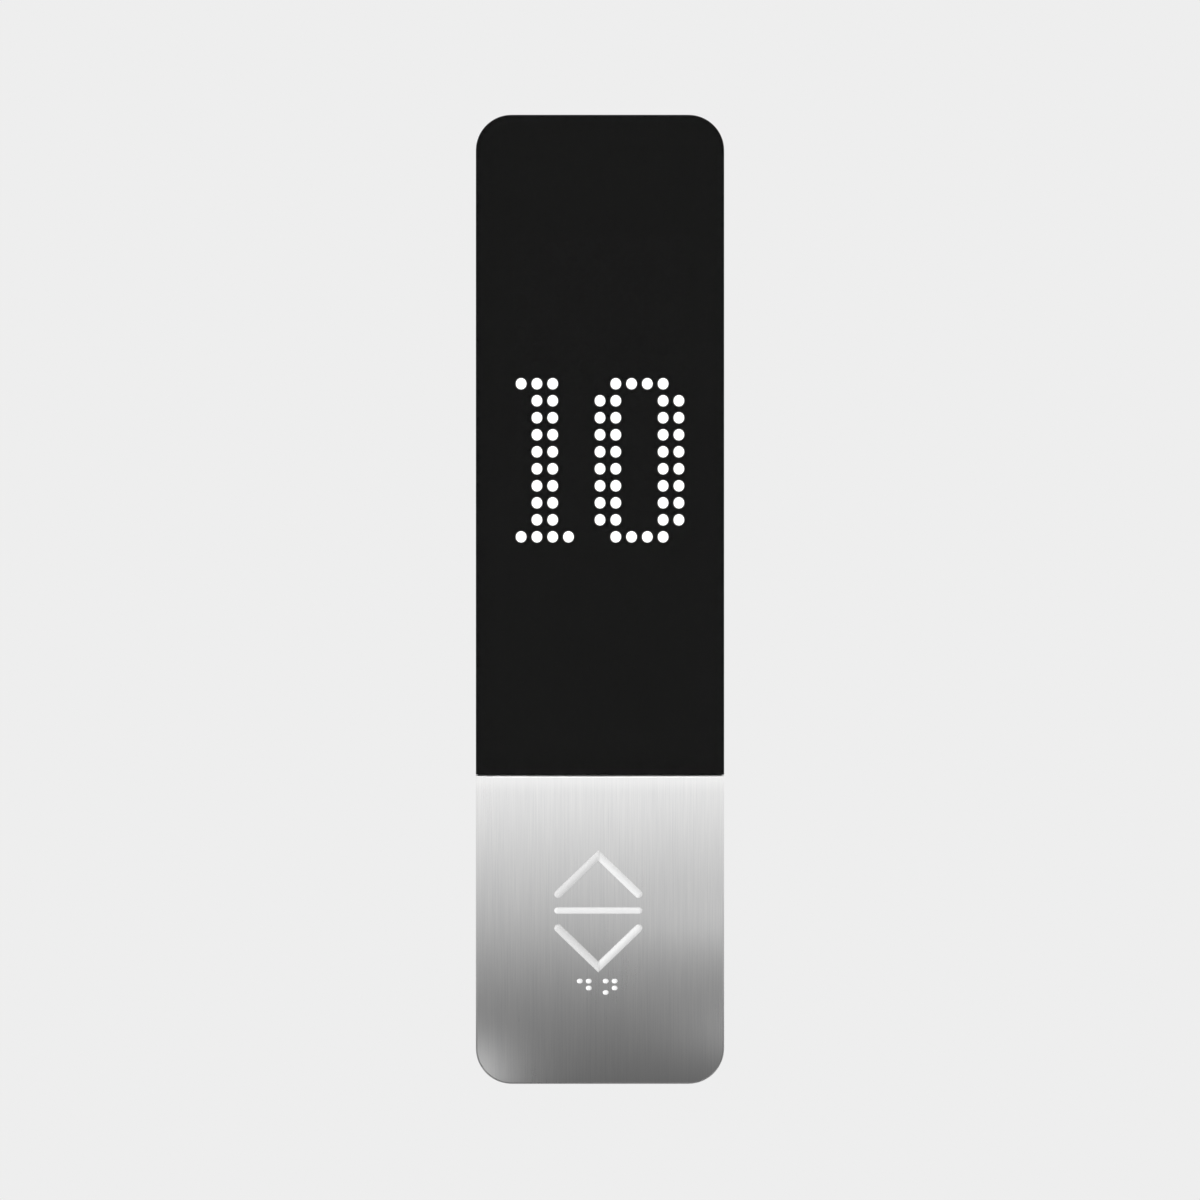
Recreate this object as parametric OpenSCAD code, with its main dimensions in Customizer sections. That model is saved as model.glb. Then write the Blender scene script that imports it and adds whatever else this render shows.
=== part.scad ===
// Landing control panel of a lift: a slim wall station with a dot matrix behind
// black glass and two raised call keys in a brushed steel cover.
// The origin is the centre of the wall face. +X is right, +Z is up, the front faces -Y.
// Depths are distances out from the wall, so a depth d lies at y = -d.

/* [Panel] */
// Width of the front
panel_w = 72; // [70:1:80]
// Height of the front
panel_h = 281; // [277:1:300]
// Distance from the wall to the front face
panel_d = 18; // [17.8:0.1:20]
// Radius of the four front corners
corner_r = 10.3; // [9:0.1:11]
// Height of the steel cover at the bottom of the front
steel_h = 89.4; // [88:0.2:94]
// Gap between the glass and the steel cover
seam = 0.25; // [0.15:0.05:0.5]
// Bevel along the front edges
edge_bevel = 0.45; // [0.2:0.05:0.7]

/* [Glass and cover] */
// Thickness of the glass
glass_t = 3; // [2.8:0.1:3.4]
// Sheet thickness of the steel cover
steel_t = 1.5; // [1.2:0.1:1.8]
// Thickness of the black print behind the glass
print_t = 0.15; // [0.1:0.05:0.25]
// Step from the edge of the glass to the edge of the print
print_inset = 0.15; // [0.1:0.05:0.3]
// Thickness of the bonding tape and of the cover gasket
tape_t = 0.6; // [0.4:0.1:0.8]
// Radius of the four threaded studs on the steel cover
stud_r = 1.5; // [1.25:0.05:1.6]
// Distance of the studs from the sides of the panel
stud_inset_x = 7.2; // [7:0.1:8]
// Distance of the upper studs from the top of the steel cover
stud_inset_top = 10; // [9:0.5:12]
// Distance of the lower studs from the bottom of the panel
stud_inset_bottom = 14.5; // [13.5:0.5:17]

/* [Housing] */
// Step from the edge of the front to the housing's side
housing_inset = 0.5; // [0.3:0.1:0.8]
// Thickness of the housing's outer wall
housing_wall = 2.4; // [2:0.1:2.6]
// Bevel round the housing's rear edge
rear_bevel = 0.7; // [0.4:0.1:0.9]
// Gap between the housing's rear edge and the wall
wall_gap = 0.3; // [0.2:0.1:0.5]
// Depth of the space behind the web that takes the wall plate
recess_d = 4.5; // [4.4:0.1:5]
// Thickness of the web that divides the housing
web_t = 1.5; // [1.2:0.1:1.7]
// Height of the posts under the boards
post_h = 2; // [1.8:0.1:2.2]
// Radius of the posts under the boards
post_r = 2.6; // [2.4:0.1:2.8]
// Radius of the bosses round the cover studs
boss_r = 3.1; // [2.8:0.1:3.3]

/* [Wall plate] */
// Sheet thickness of the wall plate
plate_t = 1.5; // [1.2:0.1:1.6]
// Gap between the wall plate and the housing's sides
plate_side_gap = 1.2; // [1:0.1:1.6]
// Distance from the top of the panel to the top of the wall plate
plate_top_gap = 6.5; // [6:0.5:8]
// Distance from the bottom of the panel to the bottom of the wall plate
plate_bottom_gap = 8.5; // [8:0.1:9]
// Distance between the screw holes across the plate
screw_dx = 44; // [40:1:48]
// Distance between the screw holes along the plate
screw_dz = 210; // [200:1:216]
// Radius of the screw holes
screw_hole_r = 2.25; // [2:0.05:2.6]
// Distance between the two slots that fit a round wall box
box_dz = 60; // [60:0.1:60.6]
// Length of those slots
box_slot_l = 10; // [8:0.5:12]
// Half width of those slots
box_slot_r = 2.1; // [1.9:0.05:2.3]
// Width and height of the cable opening
cable_size = 28; // [26:0.5:30]
// Distance from the seam down to the middle of the cable opening
cable_drop = 17.5; // [17:0.5:19]

// Width of the two stiffening beads, on the wall side
bead_w = 7; // [6:0.5:8]
// Distance of the beads from the middle of the plate
bead_x = 12; // [10:0.5:13]
// Width across the corners of the marks in the plate's edges
mark_w = 2.4; // [2:0.2:3]

/* [Hanging and clamping] */
// Radius of the pegs that the front hangs on
peg_r = 1.5; // [1.3:0.05:1.55]
// Distance from the top of the panel to the pegs
peg_drop = 11.5; // [11:0.5:13]
// Angle that the front tilts out to for wiring
tilt = 10; // [6:1:10]
// Radius of the clamp screw's thread
clamp_r = 1.5; // [1.25:0.05:1.6]
// Radius of the clamp screw's head
clamp_head_r = 2.75; // [2.6:0.05:3]
// Height of the clamp screw's head
clamp_head_h = 2; // [1.8:0.1:2.2]

/* [Display] */
// Width of a dot
dot_w = 3.3; // [3:0.1:3.7]
// Height of a dot
dot_h = 3.5; // [3.4:0.1:4]
// Distance between dots across
dot_dx = 4.58; // [4.3:0.02:4.8]
// Distance between dots down
dot_dz = 4.94; // [4.6:0.02:5.1]
// Number of dot rows above the figures
spare_rows = 8; // [6:1:8]
// Distance from the top of the panel to the top row of the figures
figures_drop = 77.9; // [76:0.1:80]
// Size of a light source package across, down and in height
led = [2, 1.25, 0.8];
// Thickness of the circuit boards
board_t = 1.6; // [1.4:0.1:1.7]

/* [Keys] */
// Shift of the symbols from the centre line of the cover
symbol_x = -0.5; // [-1:0.1:1]
// Height of the middle of the keys above the bottom of the panel
bar_h = 50.05; // [50:0.05:52]
// Distance across between the ends of a chevron
chevron_span = 23.3; // [22:0.1:24]
// Height from the ends to the tip of a chevron
chevron_rise = 11.2; // [10.6:0.1:11.6]
// Distance from the middle of the keys to the ends of a chevron
chevron_gap = 4.95; // [4.8:0.05:5.2]
// Width of a chevron's stroke
chevron_stroke = 2.1; // [1.8:0.1:2.3]
// Length of the middle bar
bar_l = 25.5; // [24:0.1:26.5]
// Width of the middle bar
bar_stroke = 1.82; // [1.7:0.02:2.1]
// Distance from the middle of the keys up to the bar
bar_rise = 0.2; // [0:0.05:0.4]
// Height that the keys stand out of the cover
key_proud = 1.3; // [1.1:0.05:1.6]
// Height that the middle bar stands out of the cover
bar_proud = 1; // [0.8:0.05:1.2]
// Height of the rounded crown on the keys and the bar
crown_h = 0.7; // [0.5:0.05:0.8]
// Gap between a key and the cover all round
key_gap = 0.1; // [0.08:0.01:0.2]
// Travel of a key
key_travel = 0.8; // [0.6:0.05:0.9]
// Width of a key carrier
carrier_w = 30; // [29:0.2:31]
// Height of a key carrier
carrier_h = 17.6; // [17.4:0.1:18]
// Thickness of a key carrier
carrier_t = 1.8; // [1.6:0.1:2]
// Gap between the two key carriers
carrier_split = 3.4; // [3.2:0.1:3.6]
// Radius of a key carrier's guide pins
guide_r = 1.2; // [1:0.05:1.3]
// Running gap round the guide pins
guide_gap = 0.05; // [0.03:0.01:0.08]
// Wire diameter of the return springs
wire_d = 0.36; // [0.3:0.02:0.4]
// Mean diameter of the return springs
coil_d = 3.5; // [3.3:0.1:3.7]
// Turns of the return springs
coil_turns = 3.5; // [3:0.5:4]

/* [Raised dots] */
// Width of a raised dot
bump_w = 1.35; // [1.2:0.05:1.5]
// Length of a raised dot across the panel
bump_l = 1.7; // [1.6:0.05:1.9]
// Height of a raised dot
bump_h = 0.55; // [0.4:0.05:0.7]
// Radius of the pins that hold the raised dots
bump_pin_r = 0.5; // [0.4:0.05:0.55]
// Distance between dots across in one cell
bump_dx = 2.6; // [2.4:0.1:2.7]
// Distance from the first row of dots down to the second
bump_dz = 2; // [1.8:0.1:2.4]
// Distance from the second row of dots down to the third
bump_dz_low = 1.3; // [1.2:0.1:2.2]
// Distance from one cell to the next
bump_cell = 7.5; // [7:0.1:7.6]
// Distance from the middle of the keys down to the first row of raised dots
bump_drop = 20.25; // [20.2:0.05:21]

/* [Hidden] */
$fn = 48;

// Heights of the main lines of the front
top_z = panel_h / 2;
bottom_z = -panel_h / 2;
steel_top_z = bottom_z + steel_h;
glass_bottom_z = steel_top_z + seam;
bar_z = bottom_z + bar_h;

// How far a cut runs past a face, and how far joined solids share a volume
cut = 1;
weld = 0.01;

// Depths from the wall to the front
web_front_d = recess_d + web_t;
board_back_d = web_front_d + post_h;
board_d = board_back_d + board_t;
glass_back_d = panel_d - glass_t;
steel_back_d = panel_d - steel_t;
rim_d = glass_back_d - tape_t;
inner_inset = housing_inset + housing_wall;
inner_w = panel_w - 2 * inner_inset;

// Wall plate
plate_w = inner_w - 2 * plate_side_gap;
plate_top_z = top_z - plate_top_gap;
plate_bottom_z = bottom_z + plate_bottom_gap;
plate_r = 3;
cable_z = steel_top_z - cable_drop;
cable_r = 4;
grommet_lip = 1.5;
grommet_lip_t = 1;
grommet_fit = 0.05;

// Hanging pegs and the ears that carry them
peg_z = top_z - peg_drop;
peg_gap = 0.1;
peg_d = plate_t + peg_gap + peg_r;
notch_r = peg_r + peg_gap;
peg_end = 1.5;
peg_root = 1;
ear_lip = 1.2;
ear_d = peg_d + notch_r + ear_lip;
ear_bottom_z = peg_z - 8;
ear_slope_z = peg_z - notch_r - 2;
ear_top_z = peg_z + 2.2;
ear_x = plate_w / 2 - plate_t;
ear_clear = 1.1;

// Clamp screw at the bottom
flange_w = 18;
flange_d = 6.4;
clamp_d = 3.5;
clamp_gap = 0.3;
clamp_tip = 1.5;
clamp_side_gap = 0.2;
clamp_roof_t = 2;
clamp_roof_z = plate_bottom_z - clamp_gap - clamp_roof_t;
pocket_w = 9;
pocket_d = 8;
pocket_wall = 2;
flange_clear = 1;
flange_window_h = plate_t + clamp_gap + clamp_tip + 0.6;
thread_gap = 0.05;
socket_r = 1.25;
socket_h = 1.2;

// Rib under the seam, and the way through it for the link cable
seam_rib = 2.4;
link_way = [18, 20];
link_way_d = board_d + 2.4;

// Opening in the web for the bus terminal
terminal_window = [26, 18, 2];

// Ribs
rib_t = 1.6;
boss_rib_step = 2;
boss_rib_reach = 1;
rear_rib_h = 1.2;
rear_rib_t = 1.2;

// Beads and edge marks of the wall plate
bead_clear = 0.8;
bead_h = recess_d - rear_rib_h - plate_t - bead_clear;
bead_top_z = top_z - peg_drop - 14;
bead_bottom_z = cable_z + cable_size / 2 + 8;
edge_marks = [[0, plate_top_z], [-plate_w / 2, cable_z], [plate_w / 2, cable_z]];

// Cover studs and nuts
stud_x = panel_w / 2 - stud_inset_x;
stud_zs = [steel_top_z - stud_inset_top, bottom_z + stud_inset_bottom];
stud_gap = 0.15;
stud_end_gap = 0.4;
stud_end_d = plate_t + stud_end_gap;
nut_r = 3.17;
nut_t = 2.4;

// Display
top_row = "###...####.";
side_row = ".##..##..##";
foot_row = "####..####.";
figures = [top_row, for (i = [1 : 8]) side_row, foot_row];
columns = len(top_row);
rows = spare_rows + len(figures);
figures_z = top_z - figures_drop;
matrix_w = (columns - 1) * dot_dx + dot_w;
matrix_top_z = figures_z + spare_rows * dot_dz;
matrix_bottom_z = matrix_top_z - (rows - 1) * dot_dz;
matrix_z = (matrix_top_z + matrix_bottom_z) / 2;
matrix_h = matrix_top_z - matrix_bottom_z + dot_h;
wells_margin = 1.2;
wells_end_margin = wells_margin + dot_dz / 4;
wells_h = matrix_h + 2 * wells_end_margin;
wells_bottom_z = matrix_z - wells_h / 2;
wells_gap = 0.4;
wells_d = glass_back_d - wells_gap;
dot_gap = 0.03;
dot_t = 1.6;
dot_sink = 0.2;
window_margin = 1;
stake_r = 0.9;
stake_gap = 0.05;
stake_h = 0.6;

// Boards
board_clear = 1.6;
board_top_gap = 16.5;
board_seam_gap = 5;
board_bottom_gap = 12.5;
boss_clear = 1.7;
display_board_w = inner_w - 2 * board_clear;
display_board_top_z = top_z - board_top_gap;
display_board_bottom_z = steel_top_z + board_seam_gap;
display_screw_x = display_board_w / 2 - 2.9;
display_screw_zs = [display_board_top_z - 6, wells_bottom_z - 4.5, display_board_bottom_z + 8];
key_board_w = 2 * (stud_x - boss_r - boss_clear);
key_board_top_z = steel_top_z - board_seam_gap;
key_board_bottom_z = bottom_z + board_bottom_gap;
key_screw_inset = 3.2;
key_screw_x = key_board_w / 2 - key_screw_inset;
key_screw_zs = [key_board_top_z - key_screw_inset, key_board_bottom_z + key_screw_inset];
board_r = 2;
screw_r = 1;
screw_gap = 0.05;
screw_head_r = 2.1;
screw_head_h = 1.5;
screw_end_gap = 0.3;
screw_tip_d = recess_d - screw_end_gap;
screw_socket_r = 1.1;
screw_socket_h = 0.9;
board_hole_r = 1.4;
rear_boss_h = 1.5;

// Keys
steel_clear = 0.1;
carrier_front_d = steel_back_d - steel_clear;
carrier_back_d = carrier_front_d - carrier_t;
carrier_gap = 0.3;
carrier_r = 1.5;
key_stop_gap = 0.15;
carrier_z = (carrier_split + carrier_h) / 2;
floor_front_d = carrier_back_d - key_travel - key_stop_gap;
floor_t = 1.6;
floor_back_d = floor_front_d - floor_t;
spring_seat_h = 1.9;
spring_seat_d = floor_front_d - spring_seat_h;
spring_gap = 0.3;
spring_seat_r = (coil_d + wire_d) / 2 + spring_gap;
guide_x = 11.5;
guide_z = carrier_split / 2 + carrier_h - 4;
guide_end_gap = 0.2;
guide_boss_wall = 0.9;
guide_boss_r = spring_seat_r + guide_boss_wall;
guide_tip_d = board_d + key_travel + guide_end_gap;
frame_wall = 2;
frame_w = carrier_w + 2 * (carrier_gap + frame_wall);
frame_h = 2 * carrier_h + carrier_split + 2 * (carrier_gap + frame_wall);
frame_r = 3;
frame_post_r = 2.2;
frame_post_inset = 2.4;
divider_h = 1.85;
lens_flange = 0.6;
lens_flange_t = 0.65;
lens_fit = 0.03;
light_gap = 0.3;
bar_light_r = 0.8;
bar_leds = 5;
arm_leds = [0.15, 0.5, 0.85];
switch_w = 6.2;
switch_h = 3.2;
switch_z = 6;
switch_gap = 0.4;
plunger_r = 1.7;
plunger_sunk = 1.6;
plunger_back_d = board_d + switch_h - plunger_sunk;
contact_h = 0.6;
contact_r = 2.2;
plunger_top_d = carrier_back_d - contact_h;
plunger_end_gap = 0.3;

// Raised dots: the cells for the down call
bump_rows = ["## ##", " #  #", "   # "];
bump_drops = [0, bump_dz, bump_dz + bump_dz_low];
bump_x = symbol_x - 0.3;

// Bus terminal on the rear of the key board
terminal_poles = 5;
terminal_pitch = 3.81;
terminal_w = terminal_poles * terminal_pitch;
terminal_h = 8.4;
terminal_back_d = plate_t + grommet_lip_t + 0.8;
wire_way = [2.4, 3.5, 2.6];
wire_way_z = -1.9;
wire_screw = [1.4, 1.6, 2];
pole_groove = [0.4, 0.5];
wire_screw_r = 1.3;
wire_screw_h = 0.9;
wire_slot = [0.4, 0.45];

// Parts on the front of the display board, in the field between the screws and under the dots
part_gap = 1.6;
field_x = display_screw_x - screw_head_r - 1.25;
drivers = 4;
driver_size = [10, 1.5, 6];
driver_pitch = (2 * field_x - driver_size[0]) / (drivers - 1);
driver_z = wells_bottom_z - part_gap - driver_size[2] / 2;
field_top_z = driver_z - driver_size[2] / 2 - 2 * part_gap;
chip_size = [10, 1.2, 10];
chip_at = [-8, field_top_z - chip_size[2] / 2];
cap_r = 2.5;
cap_h = 4.2;
cap_pitch = 7;
cap_at = [cap_r - field_x, field_top_z - cap_r];
buzzer_r = 6;
buzzer_h = 4.4;
buzzer_hole = [1, 1.4];
buzzer_at = [field_x - buzzer_r - 2.25, field_top_z - buzzer_r];

// Flat cable between the boards and its two connectors
link_size = [16, 2, 4.5];
link_inset = 3.4;
link_zs = [display_board_bottom_z + link_inset, key_board_top_z - link_inset];
link_w = 12;
link_t = 0.3;
link_rise = 0.6;
link_arch = 0.9;
link_steps = 12;

// A flat shape in x and z, made solid between two depths.
module slab(d0, d1) {
    translate([0, -d0, 0]) rotate([90, 0, 0]) linear_extrude(d1 - d0) children();
}

// A flat shape in -depth and z, made solid across x.
module across(w) {
    rotate([90, 0, 90]) linear_extrude(w, center = true) children();
}

// A round rod along the depth.
module rod(x, z, d0, d1, r) {
    translate([x, -d0, z]) rotate([90, 0, 0]) cylinder(h = d1 - d0, r = r);
}

module round_rect(w, h, r) {
    square([w - 2 * r, h], center = true);
    square([w, h - 2 * r], center = true);
    for (sx = [-1, 1], sz = [-1, 1])
        translate([sx * (w / 2 - r), sz * (h / 2 - r)]) circle(r);
}

// A round_rect set by its lower and upper edge.
module round_rect_z(w, z0, z1, r) {
    translate([0, (z0 + z1) / 2]) round_rect(w, z1 - z0, r);
}

module outline(inset) {
    round_rect(panel_w - 2 * inset, panel_h - 2 * inset, corner_r - inset);
}

module above(z) {
    translate([-panel_w, z]) square([2 * panel_w, panel_h]);
}

module below(z) {
    translate([-panel_w, z - panel_h]) square([2 * panel_w, panel_h]);
}

// The whole front as one slab with a bevelled front edge.
module bevelled_front(d0, c) {
    slab(d0, panel_d - c) outline(0);
    slab(d0, panel_d) outline(c);
    for (sx = [-1, 1], sz = [-1, 1])
        translate([sx * (panel_w / 2 - corner_r), c - panel_d, sz * (panel_h / 2 - corner_r)])
            rotate([90, 0, 0]) cylinder(h = c, r1 = corner_r, r2 = corner_r - c);
    for (s = [-1, 1]) {
        linear_extrude(panel_h - 2 * corner_r, center = true)
            polygon([[s * panel_w / 2, c - panel_d], [s * (panel_w / 2 - c), c - panel_d],
                [s * (panel_w / 2 - c), -panel_d]]);
        across(panel_w - 2 * corner_r)
            polygon([[c - panel_d, s * panel_h / 2], [c - panel_d, s * (panel_h / 2 - c)],
                [-panel_d, s * (panel_h / 2 - c)]]);
    }
}

// A slab that reaches back to the wall gap, with its rear edge bevelled.
module bevelled_rear(d1, inset, c) {
    rear_d = wall_gap + c;
    slab(rear_d, d1) outline(inset);
    slab(wall_gap, d1) outline(inset + c);
    for (sx = [-1, 1], sz = [-1, 1])
        translate([sx * (panel_w / 2 - corner_r), -wall_gap, sz * (panel_h / 2 - corner_r)])
            rotate([90, 0, 0]) cylinder(h = c, r1 = corner_r - inset - c, r2 = corner_r - inset);
    for (s = [-1, 1]) {
        side_x = s * (panel_w / 2 - inset);
        side_z = s * (panel_h / 2 - inset);
        linear_extrude(panel_h - 2 * corner_r, center = true)
            polygon([[side_x, -rear_d], [side_x - s * c, -rear_d], [side_x - s * c, -wall_gap]]);
        across(panel_w - 2 * corner_r)
            polygon([[-rear_d, side_z], [-rear_d, side_z - s * c], [-wall_gap, side_z - s * c]]);
    }
}

// Everything on one side of a height z, with the cut edge bevelled: s is 1 for above.
module side_of(z, s, c) {
    across(2 * panel_w)
        polygon([[cut, z], [c - panel_d, z], [-panel_d, z + s * c], [-panel_d - cut, z + s * c],
            [-panel_d - cut, z + s * panel_h], [cut, z + s * panel_h]]);
}

// One arm of a chevron: the ends lie on z = 0 and the tip above x = 0.
arm_angle = atan2(chevron_rise, chevron_span / 2);
arm_l = norm([chevron_span / 2, chevron_rise]);

module arm(w) {
    intersection() {
        translate([chevron_span / 2, 0]) {
            circle(w / 2);
            rotate(180 - arm_angle) translate([0, -w / 2]) square([arm_l + 2 * w, w]);
        }
        translate([0, -w]) square([chevron_span, chevron_rise + 4 * w]);
    }
}

module chevron(w) {
    arm(w);
    mirror([1, 0]) arm(w);
}

module bar(w) {
    translate([-(bar_l - w) / 2, -w / 2]) square([bar_l - w, w]);
    for (s = [-1, 1]) translate([s * (bar_l - w) / 2, 0]) circle(w / 2);
}

// Radius of the arc that crowns a stroke of width w.
function crown_r(w) = (w * w / 4 + crown_h * crown_h) / (2 * crown_h);

// The crown's section, half of it when side is 1.
module crown_section(w, side = 0) {
    r = crown_r(w);
    intersection() {
        translate([0, crown_h - r]) circle(r, $fn = 96);
        translate([side == 1 ? 0 : -w, 0]) square([side == 1 ? w : 2 * w, crown_h]);
    }
}

// A crowned stroke along +x from the origin, with a domed start, lying on the xy plane.
module crowned_stroke(w, l) {
    rotate_extrude() crown_section(w, 1);
    rotate([90, 0, 90]) linear_extrude(l) crown_section(w);
}

module crowned_arm(w) {
    intersection() {
        translate([chevron_span / 2, 0, 0]) rotate([0, 0, 180 - arm_angle])
            crowned_stroke(w, arm_l + 2 * w);
        translate([0, -w, -cut]) cube([chevron_span, chevron_rise + 4 * w, crown_h + 2 * cut]);
    }
}

// Turns a solid that stands on the xy plane to stand out of the cover at depth d.
module stand(d) {
    translate([0, -d, 0]) rotate([90, 0, 0]) children();
}

// Moves a key's parts to their place: s is 1 for the upper key and -1 for the lower.
module key_place(s) {
    translate([symbol_x, 0, bar_z]) scale_sign(s) children();
}

module scale_sign(s) {
    if (s > 0) children();
    else mirror([0, 0, 1]) children();
}

module wall_plate() {
    color("gainsboro") difference() {
        union() {
            slab(0, plate_t) round_rect_z(plate_w, plate_bottom_z, plate_top_z, plate_r);
            for (s = [-1, 1]) wall_ear(s);
            slab(0, flange_d)
                translate([-flange_w / 2, plate_bottom_z]) square([flange_w, plate_t]);
            for (s = [-1, 1]) translate([s * bead_x, 0, 0])
                bead(plate_t - weld, bead_w / 2 + plate_t * tan(22.5) + weld);
        }
        for (s = [-1, 1]) translate([s * bead_x, 0, 0]) bead(-weld, bead_w / 2 + weld);
        slab(-cut, plate_t + cut) for (p = edge_marks) translate(p) rotate(45)
            square(mark_w / sqrt(2), center = true);
        slab(-cut, plate_t + cut) cable_outline(0);
        for (sx = [-1, 1], sz = [-1, 1])
            rod(sx * screw_dx / 2, sz * screw_dz / 2, -cut, plate_t + cut, screw_hole_r);
        for (s = [-1, 1]) box_slot(s);
        translate([0, -clamp_d, plate_bottom_z - cut])
            cylinder(h = plate_t + 2 * cut, r = clamp_r + thread_gap);
    }
}

// A long bead with sloped sides and ends, from depth d and of radius r there.
module bead(d, r) {
    reach = (bead_top_z - bead_bottom_z - bead_w) / 2;
    h = bead_h + weld;
    translate([0, -d, (bead_top_z + bead_bottom_z) / 2]) {
        for (s = [-1, 1]) translate([0, 0, s * reach]) rotate([90, 0, 0])
            cylinder(h = h, r1 = r, r2 = r - h);
        linear_extrude(2 * reach, center = true)
            polygon([[-r, 0], [r, 0], [r - h, -h], [h - r, -h]]);
    }
}

module box_slot(s) {
    slot_z = cable_z + s * box_dz / 2;
    slab(-cut, plate_t + cut) translate([0, slot_z]) {
        square([2 * box_slot_r, box_slot_l - 2 * box_slot_r], center = true);
        for (e = [-1, 1]) translate([0, e * (box_slot_l / 2 - box_slot_r)]) circle(box_slot_r);
    }
}

// An ear bent out of the plate, with an open notch for a hanging peg.
module wall_ear(s) {
    translate([s * (ear_x + plate_t / 2), 0, 0]) across(plate_t) difference() {
        polygon([[0, ear_bottom_z], [-plate_t, ear_bottom_z], [-ear_d, ear_slope_z],
            [-ear_d, ear_top_z], [0, ear_top_z]]);
        translate([-peg_d, peg_z]) circle(notch_r);
        translate([-peg_d - notch_r, peg_z]) square([2 * notch_r, ear_top_z - peg_z + cut]);
    }
}

// The outline of the cable opening, made larger all round by a step.
module cable_outline(step) {
    side = cable_size + 2 * step;
    translate([0, cable_z]) round_rect(side, side, cable_r + step);
}

module cable_grommet() {
    front_d = plate_t + grommet_lip_t;
    color("dimgray") difference() {
        union() {
            slab(0, plate_t + weld) cable_outline(-grommet_fit);
            slab(plate_t, front_d) cable_outline(grommet_lip);
        }
        slab(-cut, front_d + cut) cable_outline(-grommet_lip);
    }
}

module clamp_screw() {
    head_top_z = clamp_roof_z - steel_clear;
    color("silver") translate([0, -clamp_d, 0]) difference() {
        union() {
            translate([0, 0, head_top_z - clamp_head_h])
                cylinder(h = clamp_head_h, r = clamp_head_r);
            translate([0, 0, head_top_z])
                cylinder(h = plate_bottom_z + plate_t + clamp_tip - head_top_z, r = clamp_r);
        }
        translate([0, 0, head_top_z - clamp_head_h - cut])
            cylinder(h = socket_h + cut, r = socket_r, $fn = 6);
    }
}

module housing() {
    color("darkslategray") difference() {
        union() {
            housing_tray();
            housing_posts();
            housing_pegs();
            clamp_block();
            rear_ribs();
        }
        housing_bores();
        clamp_pocket();
        tilt_relief();
    }
}

module housing_tray() {
    difference() {
        bevelled_rear(rim_d, housing_inset, rear_bevel);
        slab(0, recess_d) outline(inner_inset);
        slab(web_front_d, panel_d) outline(inner_inset);
        web_windows();
    }
    difference() {
        slab(web_front_d, rim_d) intersection() {
            outline(housing_inset);
            translate([-panel_w, steel_top_z - seam_rib])
                square([2 * panel_w, 2 * seam_rib + seam]);
        }
        slab(web_front_d, link_way_d) translate([0, steel_top_z]) square(link_way, center = true);
    }
}

// Openings in the web for the ears, the clamp flange and the bus terminal.
module web_windows() {
    for (s = [-1, 1])
        web_cut() translate([s * (ear_x + plate_t / 2), (ear_bottom_z + ear_top_z) / 2])
            square([plate_t + 2 * ear_clear, ear_top_z - ear_bottom_z + 2 * ear_clear],
                center = true);
    web_cut() translate([-flange_w / 2 - flange_clear, plate_bottom_z - clamp_gap])
        square([flange_w + 2 * flange_clear, flange_window_h]);
    web_cut() translate([0, cable_z])
        round_rect(terminal_window[0], terminal_window[1], terminal_window[2]);
}

module web_cut() {
    slab(recess_d - cut, web_front_d + cut) children();
}

module housing_posts() {
    for (sx = [-1, 1]) {
        for (z = display_screw_zs) board_post(sx * display_screw_x, z);
        for (z = key_screw_zs) board_post(sx * key_screw_x, z);
        for (z = stud_zs) {
            rod(sx * stud_x, z, web_front_d - weld, steel_back_d, boss_r);
            slab(web_front_d - weld, rim_d - boss_rib_step)
                translate([sx * (stud_x + inner_w / 2) / 2, z])
                    square([inner_w / 2 - stud_x + 2 * boss_rib_reach, rib_t], center = true);
        }
    }
}

module board_post(x, z) {
    rod(x, z, recess_d - rear_boss_h, board_back_d, post_r);
}

module housing_pegs() {
    peg_l = inner_w / 2 - ear_x + peg_end + peg_root;
    for (s = [-1, 1])
        translate([s * (inner_w / 2 + peg_root - peg_l / 2), -peg_d, peg_z]) rotate([0, 90, 0])
            cylinder(h = peg_l, r = peg_r, center = true);
}

module clamp_block() {
    foot_z = bottom_z + housing_inset + housing_wall / 2;
    slab(wall_gap, pocket_d + pocket_wall)
        translate([-pocket_w / 2 - pocket_wall, foot_z])
            square([pocket_w + 2 * pocket_wall, clamp_roof_z + clamp_roof_t - foot_z]);
}

// The pocket hides the screw's head; the slot is open to the wall, so the front can tilt.
module clamp_pocket() {
    slab(-cut, pocket_d)
        translate([-pocket_w / 2, bottom_z - cut])
            square([pocket_w, clamp_roof_z - bottom_z + cut]);
    slot_r = clamp_r + clamp_side_gap;
    translate([0, 0, clamp_roof_z - cut]) linear_extrude(clamp_roof_t + 2 * cut) {
        translate([0, -clamp_d]) circle(slot_r);
        translate([-slot_r, -clamp_d]) square([2 * slot_r, clamp_d + cut]);
    }
}

module rear_ribs() {
    for (z = [matrix_top_z, matrix_z, matrix_bottom_z, plate_bottom_z + stud_inset_bottom])
        slab(recess_d - rear_rib_h, recess_d + weld)
            translate([0, z]) square([inner_w + housing_wall, rear_rib_t], center = true);
}

module housing_bores() {
    for (sx = [-1, 1]) {
        for (z = display_screw_zs) screw_bore(sx * display_screw_x, z);
        for (z = key_screw_zs) screw_bore(sx * key_screw_x, z);
        for (z = stud_zs)
            rod(sx * stud_x, z, recess_d - cut, steel_back_d + cut, stud_r + stud_gap);
    }
}

module screw_bore(x, z) {
    rod(x, z, screw_tip_d - screw_end_gap, board_back_d + cut, screw_r + screw_gap);
}

// Takes away what would touch the wall above the pegs when the front tilts.
module tilt_relief() {
    translate([0, -peg_d, peg_z]) rotate([tilt, 0, 0])
        translate([-panel_w, peg_d - wall_gap / 2, 0]) cube([2 * panel_w, panel_d, panel_h]);
}

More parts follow.
